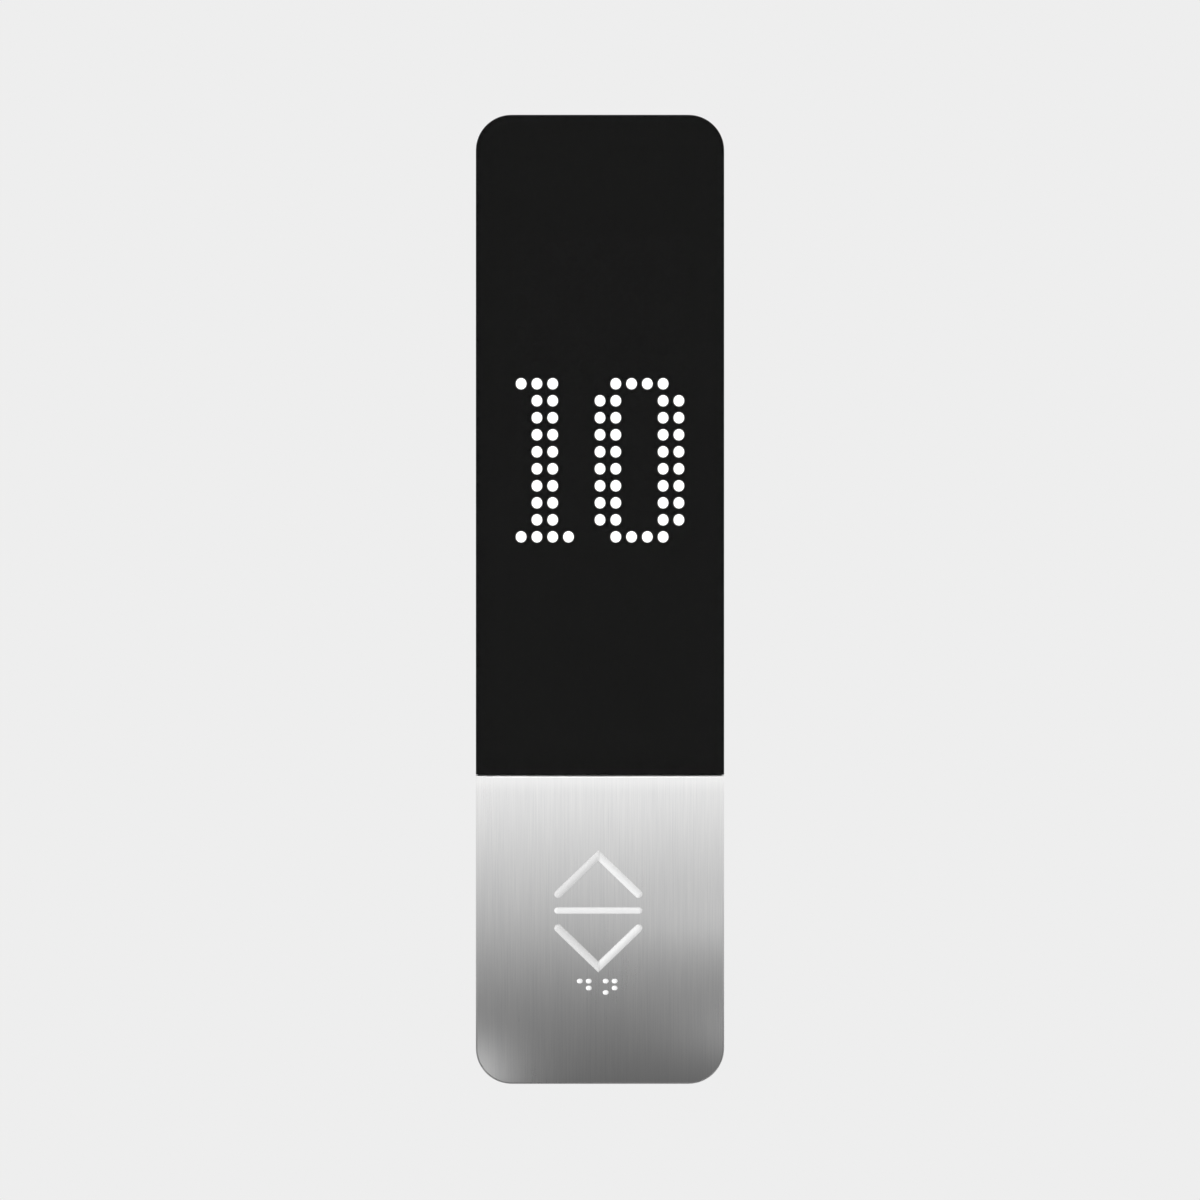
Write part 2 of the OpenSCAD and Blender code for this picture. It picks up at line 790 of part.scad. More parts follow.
module front_glass() {
    color("black") intersection() {
        bevelled_front(glass_back_d, edge_bevel);
        side_of(glass_bottom_z, 1, edge_bevel / 2);
    }
}

module glass_print() {
    color("black") slab(glass_back_d - print_t, glass_back_d) difference() {
        intersection() {
            outline(print_inset);
            above(glass_bottom_z + print_inset);
        }
        translate([0, matrix_z])
            square([matrix_w + 2 * window_margin, matrix_h + 2 * window_margin], center = true);
    }
}

// The tape lies behind the print, along the rim of the housing.
module glass_tape() {
    color("dimgray") slab(rim_d, glass_back_d - print_t) {
        difference() {
            intersection() {
                outline(housing_inset);
                above(glass_bottom_z);
            }
            intersection() {
                outline(inner_inset);
                above(glass_bottom_z + seam_rib);
            }
        }
    }
}

module cover_gasket() {
    color("dimgray") slab(rim_d, glass_back_d) {
        difference() {
            intersection() {
                outline(housing_inset);
                below(steel_top_z);
            }
            intersection() {
                outline(inner_inset);
                below(steel_top_z - seam_rib);
            }
        }
    }
}

module steel_cover() {
    color("silver") {
        difference() {
            intersection() {
                bevelled_front(glass_back_d, edge_bevel);
                side_of(steel_top_z, -1, edge_bevel);
            }
            slab(glass_back_d - cut, steel_back_d) intersection() {
                outline(steel_t);
                below(steel_top_z - steel_t);
            }
            for (s = [-1, 1])
                key_place(s) slab(steel_back_d - cut, panel_d + cut)
                    translate([0, chevron_gap]) chevron(chevron_stroke + 2 * key_gap);
            slab(steel_back_d - cut, panel_d + cut)
                translate([symbol_x, bar_z + bar_rise]) bar(bar_stroke + 2 * lens_fit);
            at_bumps() rod(0, 0, steel_back_d - cut, panel_d + cut, bump_pin_r + lens_fit);
        }
        for (sx = [-1, 1], z = stud_zs) rod(sx * stud_x, z, stud_end_d, steel_back_d, stud_r);
    }
}

module cover_nuts() {
    color("silver") for (sx = [-1, 1], z = stud_zs) difference() {
        translate([sx * stud_x, -recess_d, z]) rotate([-90, 30, 0])
            cylinder(h = nut_t, r = nut_r, $fn = 6);
        rod(sx * stud_x, z, recess_d - nut_t - cut, recess_d + cut, stud_r + thread_gap);
    }
}

module display_board() {
    color("darkgreen") difference() {
        slab(board_back_d, board_d)
            round_rect_z(display_board_w, display_board_bottom_z, display_board_top_z, board_r);
        for (sx = [-1, 1], z = display_screw_zs)
            rod(sx * display_screw_x, z, board_back_d - cut, board_d + cut, board_hole_r);
        at_well_stakes() rod(0, 0, board_back_d - cut, board_d + cut, stake_r + stake_gap);
    }
}

// Places its children at every dot, or only at those whose state is asked for.
module at_dots(lit = true, dark = true) {
    for (row = [0 : rows - 1], column = [0 : columns - 1]) {
        on = row >= spare_rows && figures[row - spare_rows][column] == "#";
        if (on ? lit : dark)
            translate([(column - (columns - 1) / 2) * dot_dx, 0, matrix_top_z - row * dot_dz])
                children();
    }
}

module led_package(d) {
    translate([-led[0] / 2, -d - led[2], -led[1] / 2]) cube([led[0], led[2], led[1]]);
}

module display_leds() {
    color("ivory") at_dots() led_package(board_d);
}

module at_well_stakes() {
    for (sx = [-1, 1], z = [matrix_top_z + dot_dz / 2, matrix_bottom_z - dot_dz / 2])
        translate([sx * dot_dx * (columns / 2 - 1), 0, z]) children();
}

module light_wells() {
    color([0.1, 0.1, 0.1]) {
        difference() {
            slab(board_d, wells_d) translate([0, matrix_z])
                round_rect(matrix_w + 2 * wells_margin, wells_h, wells_margin);
            at_dots() slab(board_d - cut, wells_d + cut) dot_outline(dot_w / 2);
        }
        at_well_stakes() rod(0, 0, board_back_d - stake_h, board_d, stake_r);
    }
}

// A dot's outline, a little taller than wide, with end arcs of radius r.
module dot_outline(r) {
    rise = dot_h - dot_w;
    for (s = [-1, 1]) translate([0, s * rise / 2]) circle(r);
    square([2 * r, rise], center = true);
}

module dot_lens() {
    slab(wells_d - dot_sink - dot_t, wells_d - dot_sink) dot_outline(dot_w / 2 - dot_gap);
}

module lit_dots() {
    color("white") at_dots(dark = false) dot_lens();
}

module dark_dots() {
    color("dimgray") at_dots(lit = false) dot_lens();
}

module block_on_board(x, z, size) {
    translate([x - size[0] / 2, -board_d - size[1], z - size[2] / 2]) cube(size);
}

module controller_chip() {
    color([0.12, 0.12, 0.13]) block_on_board(chip_at[0], chip_at[1], chip_size);
}

module driver_chips() {
    color([0.12, 0.12, 0.13]) for (i = [0 : drivers - 1])
        block_on_board((i - (drivers - 1) / 2) * driver_pitch, driver_z, driver_size);
}

module capacitors() {
    color("slategray") for (i = [0, 1])
        rod(cap_at[0], cap_at[1] - cap_pitch * i, board_d, board_d + cap_h, cap_r);
}

module buzzer() {
    color([0.12, 0.12, 0.13]) difference() {
        rod(buzzer_at[0], buzzer_at[1], board_d, board_d + buzzer_h, buzzer_r);
        rod(buzzer_at[0], buzzer_at[1], board_d + buzzer_h - buzzer_hole[1],
            board_d + buzzer_h + cut, buzzer_hole[0]);
    }
}

module link_connectors() {
    color("ivory") for (z = link_zs) block_on_board(0, z, link_size);
}

// The flat cable between the boards, with a shallow arch over the seam rib's opening.
module link_cable() {
    z1 = link_zs[0] - link_size[2] / 2;
    z0 = link_zs[1] + link_size[2] / 2;
    line = [for (i = [0 : link_steps]) let (t = i / link_steps)
        [board_d + link_rise + link_arch * (1 - cos(360 * t)) / 2, z0 + (z1 - z0) * t]];
    color("whitesmoke") across(link_w) polygon(concat(
        [for (p = line) [-p[0], p[1]]],
        [for (i = [link_steps : -1 : 0]) [-line[i][0] - link_t, line[i][1]]]));
}

module key_board() {
    color("darkgreen") difference() {
        slab(board_back_d, board_d)
            round_rect_z(key_board_w, key_board_bottom_z, key_board_top_z, board_r);
        for (sx = [-1, 1], z = key_screw_zs)
            rod(sx * key_screw_x, z, board_back_d - cut, board_d + cut, board_hole_r);
        at_frame_stakes() rod(0, 0, board_back_d - cut, board_d + cut, stake_r + stake_gap);
    }
}

// Places its children under a chevron's stroke or under the bar.
module at_key_leds() {
    for (s = [-1, 1]) key_place(s)
        for (sx = [-1, 1], t = arm_leds)
            translate([sx * chevron_span / 2 * (1 - t), 0, chevron_gap + chevron_rise * t])
                children();
    at_bar_lights() children();
}

module at_bar_lights() {
    for (i = [0 : bar_leds - 1])
        translate([symbol_x + (i - (bar_leds - 1) / 2) * bar_l / (bar_leds + 1), 0,
            bar_z + bar_rise]) children();
}

module key_leds() {
    color("ivory") at_key_leds() led_package(board_d);
}

module at_frame_stakes() {
    for (sx = [-1, 1], sz = [-1, 1])
        translate([symbol_x + sx * (frame_w / 2 - frame_post_inset), 0,
            bar_z + sz * (frame_h / 2 - frame_post_inset)]) children();
}

module key_frame() {
    color([0.1, 0.1, 0.1]) {
        difference() {
            union() {
                slab(floor_back_d, steel_back_d)
                    translate([symbol_x, bar_z]) round_rect(frame_w, frame_h, frame_r);
                at_frame_stakes() rod(0, 0, board_d, floor_back_d + weld, frame_post_r);
                for (s = [-1, 1], sx = [-1, 1]) key_place(s)
                    rod(sx * guide_x, guide_z, board_d, floor_back_d + weld, guide_boss_r);
            }
            for (s = [-1, 1]) key_place(s) key_pocket();
            slab(floor_front_d + divider_h, steel_back_d + cut) translate([symbol_x, bar_z])
                square([carrier_w + 2 * carrier_gap, carrier_split], center = true);
            at_bar_lights() rod(0, 0, floor_back_d - cut, steel_back_d, bar_light_r);
        }
        at_frame_stakes() rod(0, 0, board_back_d - stake_h, board_d + weld, stake_r);
    }
}

// What a key needs out of the frame, for the upper key with the bar at z = 0.
module key_pocket() {
    slab(floor_front_d, steel_back_d + cut) translate([0, carrier_z])
        square([carrier_w + 2 * carrier_gap, carrier_h + 2 * carrier_gap], center = true);
    slab(floor_back_d - cut, floor_front_d + weld) {
        translate([0, chevron_gap])
            chevron(chevron_stroke + 2 * (lens_flange + light_gap));
        translate([0, switch_z]) square(switch_w + 2 * switch_gap, center = true);
    }
    for (sx = [-1, 1]) {
        rod(sx * guide_x, guide_z, board_d - cut, floor_front_d, guide_r + guide_gap);
        rod(sx * guide_x, guide_z, spring_seat_d, floor_front_d + weld, spring_seat_r);
    }
}

module bar_lens() {
    d0 = floor_front_d + divider_h;
    color("white") translate([symbol_x, 0, bar_z + bar_rise]) {
        slab(d0, panel_d + bar_proud - crown_h) bar(bar_stroke);
        stand(panel_d + bar_proud - crown_h) for (s = [0, 180]) rotate([0, 0, s])
            translate([-(bar_l - bar_stroke) / 2, 0, 0])
                crowned_stroke(bar_stroke, (bar_l - bar_stroke) / 2);
    }
}

// Places its children at the centre of each raised dot.
module at_bumps() {
    x0 = bump_x - (bump_cell + bump_dx) / 2;
    for (row = [0 : len(bump_rows) - 1], i = [0, 1, 3, 4])
        if (bump_rows[row][i] == "#")
            translate([x0 + (i < 2 ? i * bump_dx : bump_cell + (i - 3) * bump_dx), 0,
                bar_z - bump_drop - bump_drops[row]]) children();
}

// Half of a raised dot: a crowned stroke that starts with a dome.
module bump_half() {
    r = bump_w / 2;
    dome_r = (r * r + bump_h * bump_h) / (2 * bump_h);
    start = (bump_l - bump_w) / 2;
    translate([-start, 0, 0]) {
        rotate_extrude() intersection() {
            translate([0, bump_h - dome_r]) circle(dome_r);
            square([r, bump_h]);
        }
        rotate([90, 0, 90]) linear_extrude(start) intersection() {
            translate([0, bump_h - dome_r]) circle(dome_r);
            translate([-r, 0]) square([2 * r, bump_h]);
        }
    }
}

module raised_dots() {
    color("white") at_bumps() {
        rod(0, 0, steel_back_d, panel_d, bump_pin_r);
        stand(panel_d) for (a = [0, 180]) rotate([0, 0, a]) bump_half();
    }
}

// The wire entries and screws of the terminal face the cable opening.
module bus_terminal() {
    color("seagreen") difference() {
        slab(terminal_back_d, board_back_d)
            translate([0, cable_z]) square([terminal_w, terminal_h], center = true);
        at_poles() {
            slab(terminal_back_d - cut, terminal_back_d + wire_way[1]) translate([0, wire_way_z])
                square([wire_way[0], wire_way[2]], center = true);
            rod(0, wire_screw[2], terminal_back_d - cut, terminal_back_d + wire_screw[1],
                wire_screw[0]);
        }
        slab(terminal_back_d - cut, terminal_back_d + pole_groove[1])
            for (i = [1 : terminal_poles - 1])
                translate([(i - terminal_poles / 2) * terminal_pitch, cable_z])
                    square([pole_groove[0], terminal_h + cut], center = true);
    }
}

module at_poles() {
    for (i = [0 : terminal_poles - 1])
        translate([(i - (terminal_poles - 1) / 2) * terminal_pitch, 0, cable_z]) children();
}

// The slotted screws at the bottom of the terminal's upper bores.
module terminal_screws() {
    front_d = terminal_back_d + wire_screw[1];
    head_d = front_d - wire_screw_h;
    color("silver") at_poles() translate([0, 0, wire_screw[2]]) difference() {
        rod(0, 0, head_d, front_d, wire_screw_r);
        slab(head_d - cut, head_d + wire_slot[1])
            square([2 * wire_screw_r + cut, wire_slot[0]], center = true);
    }
}

module board_screws() {
    color("silver") for (sx = [-1, 1]) {
        for (z = display_screw_zs) board_screw(sx * display_screw_x, z);
        for (z = key_screw_zs) board_screw(sx * key_screw_x, z);
    }
}

module board_screw(x, z) {
    difference() {
        union() {
            rod(x, z, screw_tip_d, board_d, screw_r);
            rod(x, z, board_d, board_d + screw_head_h, screw_head_r);
        }
        translate([x, screw_socket_h - screw_head_h - board_d, z]) rotate([90, 0, 0])
            cylinder(h = screw_socket_h + cut, r = screw_socket_r, $fn = 6);
    }
}

// The fixed body of a call switch, with the bore for its plunger.
module switch_body(s) {
    color([0.16, 0.16, 0.17]) key_place(s) difference() {
        slab(board_d, board_d + switch_h)
            translate([0, switch_z]) square(switch_w, center = true);
        rod(0, switch_z, plunger_back_d - key_travel - plunger_end_gap, board_d + switch_h + cut,
            plunger_r + guide_gap);
    }
}

module plunger(s) {
    color("firebrick") key_place(s)
        rod(0, switch_z, plunger_back_d, plunger_top_d, plunger_r);
}

module chevron_lens(s) {
    crown_d = panel_d + key_proud - crown_h;
    color("white") key_place(s) translate([0, 0, chevron_gap]) {
        slab(carrier_back_d, crown_d) chevron(chevron_stroke);
        slab(carrier_back_d - lens_flange_t, carrier_back_d)
            chevron(chevron_stroke + 2 * lens_flange);
        stand(crown_d) {
            crowned_arm(chevron_stroke);
            mirror([1, 0, 0]) crowned_arm(chevron_stroke);
        }
    }
}

module carrier(s) {
    color("whitesmoke") key_place(s) {
        difference() {
            slab(carrier_back_d, carrier_front_d)
                translate([0, carrier_z]) round_rect(carrier_w, carrier_h, carrier_r);
            slab(carrier_back_d - cut, carrier_front_d + cut)
                translate([0, chevron_gap]) chevron(chevron_stroke + 2 * lens_fit);
        }
        for (sx = [-1, 1]) rod(sx * guide_x, guide_z, guide_tip_d, carrier_back_d, guide_r);
        rod(0, switch_z, plunger_top_d, carrier_back_d, contact_r);
    }
}

// A coil spring along +z from the origin, with a six-sided wire.
spring_l = carrier_back_d - spring_seat_d;
coil_steps = 14;
wire_sides = 6;

function coil_point(t, k) =
    let (a = 360 * coil_turns * t, b = 360 * k / wire_sides, r = (coil_d + wire_d * cos(b)) / 2)
    [r * cos(a), r * sin(a), wire_d / 2 + (spring_l - wire_d) * t + wire_d / 2 * sin(b)];

module coil_spring() {
    n = ceil(coil_steps * coil_turns);
    points = [for (i = [0 : n], k = [0 : wire_sides - 1]) coil_point(i / n, k)];
    sides = [for (i = [0 : n - 1], k = [0 : wire_sides - 1])
        let (m = (k + 1) % wire_sides, a = i * wire_sides, b = a + wire_sides)
        [a + k, b + k, b + m, a + m]];
    start = [for (k = [0 : wire_sides - 1]) k];
    end = [for (k = [wire_sides - 1 : -1 : 0]) n * wire_sides + k];
    polyhedron(points = points, faces = concat([start], sides, [end]));
}

module springs(s) {
    color("lightsteelblue") key_place(s) for (sx = [-1, 1])
        translate([sx * guide_x, 0, guide_z]) stand(spring_seat_d) coil_spring();
}

wall_plate();
cable_grommet();
clamp_screw();
housing();
front_glass();
glass_print();
glass_tape();
steel_cover();
cover_gasket();
cover_nuts();
display_board();
display_leds();
light_wells();
lit_dots();
dark_dots();
controller_chip();
driver_chips();
capacitors();
buzzer();
link_connectors();
link_cable();
key_board();
key_leds();
key_frame();
bar_lens();
raised_dots();
bus_terminal();
terminal_screws();
board_screws();
switch_body(1);  // up_switch
switch_body(-1);  // down_switch
chevron_lens(1);  // up_chevron
carrier(1);  // up_carrier
plunger(1);  // up_plunger
springs(1);  // up_springs
chevron_lens(-1);  // down_chevron
carrier(-1);  // down_carrier
plunger(-1);  // down_plunger
springs(-1);  // down_springs
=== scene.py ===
import math

import bmesh
import bpy
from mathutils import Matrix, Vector


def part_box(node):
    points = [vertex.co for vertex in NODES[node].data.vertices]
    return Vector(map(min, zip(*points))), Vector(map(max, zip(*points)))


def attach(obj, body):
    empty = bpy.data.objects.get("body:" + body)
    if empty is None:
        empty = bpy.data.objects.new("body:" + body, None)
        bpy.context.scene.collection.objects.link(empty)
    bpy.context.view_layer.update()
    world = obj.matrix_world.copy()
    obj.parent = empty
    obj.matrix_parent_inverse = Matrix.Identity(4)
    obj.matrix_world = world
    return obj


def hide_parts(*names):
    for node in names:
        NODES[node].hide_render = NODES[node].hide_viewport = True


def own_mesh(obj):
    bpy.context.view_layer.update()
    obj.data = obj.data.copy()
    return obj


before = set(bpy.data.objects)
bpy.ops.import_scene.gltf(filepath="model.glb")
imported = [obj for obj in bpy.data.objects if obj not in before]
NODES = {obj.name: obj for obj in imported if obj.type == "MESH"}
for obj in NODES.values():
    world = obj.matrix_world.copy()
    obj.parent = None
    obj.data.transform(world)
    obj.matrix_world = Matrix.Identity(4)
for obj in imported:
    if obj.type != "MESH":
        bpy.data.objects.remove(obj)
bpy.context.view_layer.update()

MM = 0.001
# Points of a mesh that lie nearer than this are one
SAME_POINT = 1e-6
# Edges that turn by less than this stay as they are
SHARP_ANGLE = math.radians(32)
TO_THE_FRONT = Vector((0, -1, 0))
WHITE = (1, 1, 1, 1)


def grey(level):
    """A neutral colour from its display level, 0 to 255."""
    s = level / 255
    v = s / 12.92 if s <= 0.04045 else ((s + 0.055) / 1.055) ** 2.4
    return (v, v, v, 1.0)


def tone(r, g, b):
    """A colour from its display levels, 0 to 255."""
    return (grey(r)[0], grey(g)[0], grey(b)[0], 1.0)


def even(level):
    """A neutral colour from its brightness, which may be over 1."""
    return (level, level, level, 1)


class Nodes:
    """The nodes of a material or of the world."""

    def __init__(self, tree):
        self.tree = tree

    def add(self, kind, inputs=None, **settings):
        node = self.tree.nodes.new(kind)
        for key, value in settings.items():
            setattr(node, key, value)
        for key, value in (inputs or {}).items():
            self.put(node.inputs[key], value)
        return node

    def put(self, socket, value):
        """Links a socket to an output or to a node's first one, or sets its value."""
        if isinstance(value, bpy.types.NodeSocket):
            self.tree.links.new(value, socket)
        elif isinstance(value, bpy.types.Node):
            self.tree.links.new(value.outputs[0], socket)
        else:
            socket.default_value = value

    def math(self, operation, a, b=0.0):
        return self.add("ShaderNodeMath", {0: a, 1: b}, operation=operation).outputs[0]

    def weighted(self, *terms):
        """The sum of values, each times its weight."""
        parts = None
        for value, weight in terms:
            part = self.math("MULTIPLY", value, weight)
            parts = part if parts is None else self.math("ADD", parts, part)
        return parts

    def mix(self, factor, a, b, blend="MIX"):
        inputs = {0: factor, 6: a, 7: b}
        return self.add("ShaderNodeMix", inputs, data_type="RGBA", blend_type=blend).outputs[2]

    def seen(self):
        """1 for rays from the camera, off a mirror or through glass, 0 for those that light."""
        rays = self.add("ShaderNodeLightPath").outputs
        direct = self.math("MAXIMUM", rays["Is Camera Ray"], rays["Is Glossy Ray"])
        return self.math("MAXIMUM", direct, rays["Is Transmission Ray"])


class Shader(Nodes):
    """A material made node by node. Its patterns use metres in the part's own frame."""

    def __init__(self, name):
        self.mat = bpy.data.materials.new(name)
        self.mat.use_nodes = True
        super().__init__(self.mat.node_tree)
        self.bsdf = self.tree.nodes["Principled BSDF"]
        self.out = self.tree.nodes["Material Output"]
        self.place = self.add("ShaderNodeTexCoord").outputs["Object"]

    def set(self, **values):
        for key, value in values.items():
            self.put(self.bsdf.inputs[key.replace("_", " ")], value)

    def scaled(self, scale, shift=(0, 0, 0)):
        inputs = {"Vector": self.place, "Scale": scale, "Location": shift}
        return self.add("ShaderNodeMapping", inputs).outputs[0]

    def noise(self, size, detail=2.0, rough=0.5, stretch=(1, 1, 1), shift=(0, 0, 0)):
        """Noise whose features are about size metres across."""
        k = 1 / size
        vector = self.scaled([k * s for s in stretch], shift)
        inputs = {"Vector": vector, "Scale": 1.0, "Detail": detail, "Roughness": rough}
        return self.add("ShaderNodeTexNoise", inputs).outputs["Fac"]

    def cells(self, size, output="Color", jitter=1.0):
        """Cells that are about size metres across."""
        inputs = {"Vector": self.scaled([1 / size] * 3), "Scale": 1.0, "Randomness": jitter}
        return self.add("ShaderNodeTexVoronoi", inputs).outputs[output]

    def span(self, value, low, high, to_low=0.0, to_high=1.0, smooth=False):
        """The value, with low to high made to_low to to_high and held beyond them."""
        inputs = {
            "Value": value, "From Min": low, "From Max": high, "To Min": to_low, "To Max": to_high
        }
        curve = "SMOOTHSTEP" if smooth else "LINEAR"
        return self.add("ShaderNodeMapRange", inputs, interpolation_type=curve).outputs[0]

    def axis(self, name, vector=None):
        """One coordinate of a vector, or of the place."""
        return self.add("ShaderNodeSeparateXYZ", {"Vector": vector or self.place}).outputs[name]

    def spot(self, centre, size, stretch=(1, 1, 1)):
        """1 at the centre, falling softly to 0 at size metres, divided by the stretch."""
        shift = [-c * s / size for c, s in zip(centre, stretch)]
        offset = self.scaled([s / size for s in stretch], shift)
        length = self.add("ShaderNodeVectorMath", {0: offset}, operation="LENGTH")
        return self.span(length.outputs["Value"], 0.0, 1.0, 1.0, 0.0, smooth=True)

    def bump(self, height, depth):
        """Height from 0 to 1 stands for depth metres."""
        inputs = {"Height": height, "Distance": depth, "Strength": 1.0}
        return self.add("ShaderNodeBump", inputs).outputs[0]


def plastic(name, colour, rough, grain, depth, vary, shine=0.5):
    """Moulded plastic: a fine eroded grain, slow colour drift and uneven gloss.
    The grain's size and depth are in mm, and vary is the share that the colour drifts by."""
    s = Shader(name)
    slow = s.noise(14 * MM, 3.0, 0.55)
    fine = s.noise(grain * MM, 2.0, 0.6)
    dark = [c * (1 - vary) for c in colour[:3]] + [1.0]
    light = [min(1.0, c * (1 + vary)) for c in colour[:3]] + [1.0]
    blend = s.weighted((slow, 0.7), (fine, 0.3))
    s.set(
        Base_Color=s.mix(s.span(blend, 0.35, 0.65), dark, light),
        Roughness=s.span(s.math("ADD", slow, fine), 0.6, 1.4, rough - 0.06, rough + 0.07),
        Normal=s.bump(fine, depth * MM),
        Specular_IOR_Level=shine,
    )
    return s


def brushed_steel():
    """Satin stainless sheet, brushed along z, with long fine lines of its own. A painted
    highlight makes it paler towards its top edge, and a brighter painted highlight lies on the
    bevel there."""
    s = Shader("brushed_steel")
    fine = s.noise(0.16 * MM, 2.0, 0.6, (1, 1, 0.012))
    mid = s.noise(0.5 * MM, 3.0, 0.6, (1, 1, 0.016), (3.1, 0, 0.4))
    broad = s.noise(6 * MM, 2.0, 0.5, (1, 1, 0.04), (0, 0, 7.0))
    scratch = s.span(s.noise(0.3 * MM, 1.0, 0.5, (1, 1, 0.007), (9.0, 2.0, 1.5)), 0.66, 0.74)
    lines = s.weighted((fine, 0.5), (mid, 0.4), (broad, 0.1))
    smear = s.noise(30 * MM, 3.0, 0.6)
    dark, light, pale = (0.755, 0.757, 0.76, 1), (0.855, 0.853, 0.848, 1), (0.97, 0.97, 0.965, 1)
    fade_low, fade_high = -57 * MM, -51.3 * MM
    bevel_highlight_low, bevel_highlight_high = -51.56 * MM, -51.48 * MM
    base = s.mix(s.span(lines, 0.36, 0.64), dark, light)
    # Painted highlight: the colour turns pale over the last few mm below the top edge
    base = s.mix(s.span(s.axis("Z"), fade_low, fade_high, 0.0, 0.5, smooth=True), base, pale)
    bevel = s.span(s.axis("Z"), bevel_highlight_low, bevel_highlight_high)
    # Painted highlight: the bevel along the top edge is pale
    base = s.mix(bevel, base, pale)
    rough = s.math(
        "ADD", s.span(lines, 0.35, 0.65, 0.28, 0.3), s.span(smear, 0.3, 0.7, -0.015, 0.02)
    )
    s.set(
        Base_Color=s.mix(s.math("MULTIPLY", scratch, 0.5), base, (0.9, 0.9, 0.895, 1)),
        Metallic=1.0,
        Roughness=s.math("ADD", rough, s.math("MULTIPLY", bevel, 0.17)),
        Anisotropic=0.6,
        Tangent=s.add("ShaderNodeTangent", direction_type="RADIAL", axis="Z"),
        Normal=s.bump(lines, 0.0015 * MM),
    )
    return s.mat


def smoked_glass():
    """Dark glass whose ground side edges are inked."""
    s = Shader("smoked_glass")
    melt = s.noise(25 * MM, 3.0, 0.6)
    normal = s.add("ShaderNodeTexCoord").outputs["Normal"]
    face = s.span(s.math("ABSOLUTE", s.axis("Y", normal)), 0.35, 0.6)
    tint = s.mix(melt, (0.36, 0.365, 0.36, 1), (0.39, 0.39, 0.382, 1))
    s.set(
        Base_Color=s.mix(face, (0.01, 0.01, 0.01, 1), tint),
        Transmission_Weight=1.0,
        Roughness=0.0,
        IOR=1.195,
    )
    return s.mat


def black_print():
    """Matt screen print with a fine mesh of ink dots."""
    s = Shader("black_print")
    dots = s.cells(0.3 * MM, output="Distance")
    s.set(
        Base_Color=s.mix(dots, (0.0025, 0.0025, 0.0025, 1), (0.004, 0.004, 0.0038, 1)),
        Roughness=s.span(dots, 0.0, 0.7, 0.6, 0.7),
        Specular_IOR_Level=0.1,
    )
    return s.mat


def pearl_white():
    """Opal lens plastic with a soft gloss and a faint glow, which is painted fill light on its
    shaded flanks. Painted shade makes the chevrons' left arms a little greyer than their right
    arms and the bar."""
    s = Shader("pearl_white")
    cloud = s.noise(3 * MM, 3.0, 0.55)
    fine = s.noise(0.12 * MM, 2.0, 0.5)
    bar_z, bar_reach, bend = -90.2 * MM, 3 * MM, 0.1 * MM
    from_bar = s.math("ABSOLUTE", s.math("SUBTRACT", s.axis("Z"), bar_z))
    # Painted shade: the chevrons' left arms, away from the bar, get a greyer colour and a dimmer
    # glow
    left = s.span(s.axis("X"), bend, -bend)
    arms = s.math("MULTIPLY", left, s.math("GREATER_THAN", from_bar, bar_reach))
    body = s.mix(cloud, (0.55, 0.553, 0.556, 1), (0.6, 0.6, 0.597, 1))
    s.set(
        Base_Color=s.mix(arms, body, even(0.47)),
        # The glow is painted fill light, dimmer on the left arms as painted shade
        Emission_Color=s.mix(arms, WHITE, even(0.92)),
        Emission_Strength=0.31,
        Roughness=s.span(fine, 0.3, 0.7, 0.36, 0.44),
        Normal=s.bump(fine, 0.0015 * MM),
        Subsurface_Weight=0.15,
        Subsurface_Radius=(0.5 * MM, 0.5 * MM, 0.5 * MM),
        Subsurface_Scale=1.0,
        Coat_Weight=0.12,
        Coat_Roughness=0.2,
    )
    return s.mat


def pin_white():
    """White pins with a faint glow, which is painted fill light that keeps them pale all round.
    """
    s = Shader("pin_white")
    fine = s.noise(0.1 * MM, 2.0, 0.5)
    s.set(
        Base_Color=s.mix(fine, (0.88, 0.885, 0.89, 1), (0.93, 0.93, 0.925, 1)),
        Roughness=s.span(fine, 0.3, 0.7, 0.36, 0.46),
        Normal=s.bump(fine, 0.001 * MM),
        # The glow is painted fill light
        Emission_Color=WHITE,
        Emission_Strength=0.16,
    )
    return s.mat


def galvanised():
    """Zinc coated sheet: crystal flowers of uneven shine with fine grain across them."""
    s = Shader("galvanised")
    large = s.axis("X", s.cells(5.5 * MM))
    small = s.axis("Y", s.cells(2.1 * MM))
    flower = s.weighted((large, 0.6), (small, 0.4))
    grain = s.noise(0.25 * MM, 3.0, 0.6, (1, 1, 0.3))
    haze = s.noise(40 * MM, 4.0, 0.6)
    base = s.mix(s.span(flower, 0.15, 0.85), (0.50, 0.52, 0.54, 1), (0.72, 0.735, 0.75, 1))
    flower_rough = s.span(flower, 0.1, 0.9, 0.46, 0.32)
    grain_rough = s.span(grain, 0.3, 0.7, -0.03, 0.04)
    s.set(
        Base_Color=s.mix(s.span(haze, 0.35, 0.7, 0.0, 0.25), base, (0.55, 0.555, 0.555, 1)),
        Metallic=1.0,
        Roughness=s.math("ADD", flower_rough, grain_rough),
        Normal=s.bump(s.weighted((flower, 0.6), (grain, 0.4)), 0.012 * MM),
    )
    return s.mat


def zinc():
    """Bright zinc on small hardware, with a fine grain and faint yellow patches."""
    s = Shader("zinc")
    grain = s.noise(0.15 * MM, 3.0, 0.6)
    patch = s.noise(2.5 * MM, 3.0, 0.6)
    s.set(
        Base_Color=s.mix(
            s.span(patch, 0.35, 0.65), (0.60, 0.61, 0.62, 1), (0.76, 0.76, 0.745, 1)
        ),
        Metallic=1.0,
        Roughness=s.span(s.math("ADD", grain, patch), 0.7, 1.3, 0.24, 0.38),
        Normal=s.bump(grain, 0.004 * MM),
    )
    return s.mat


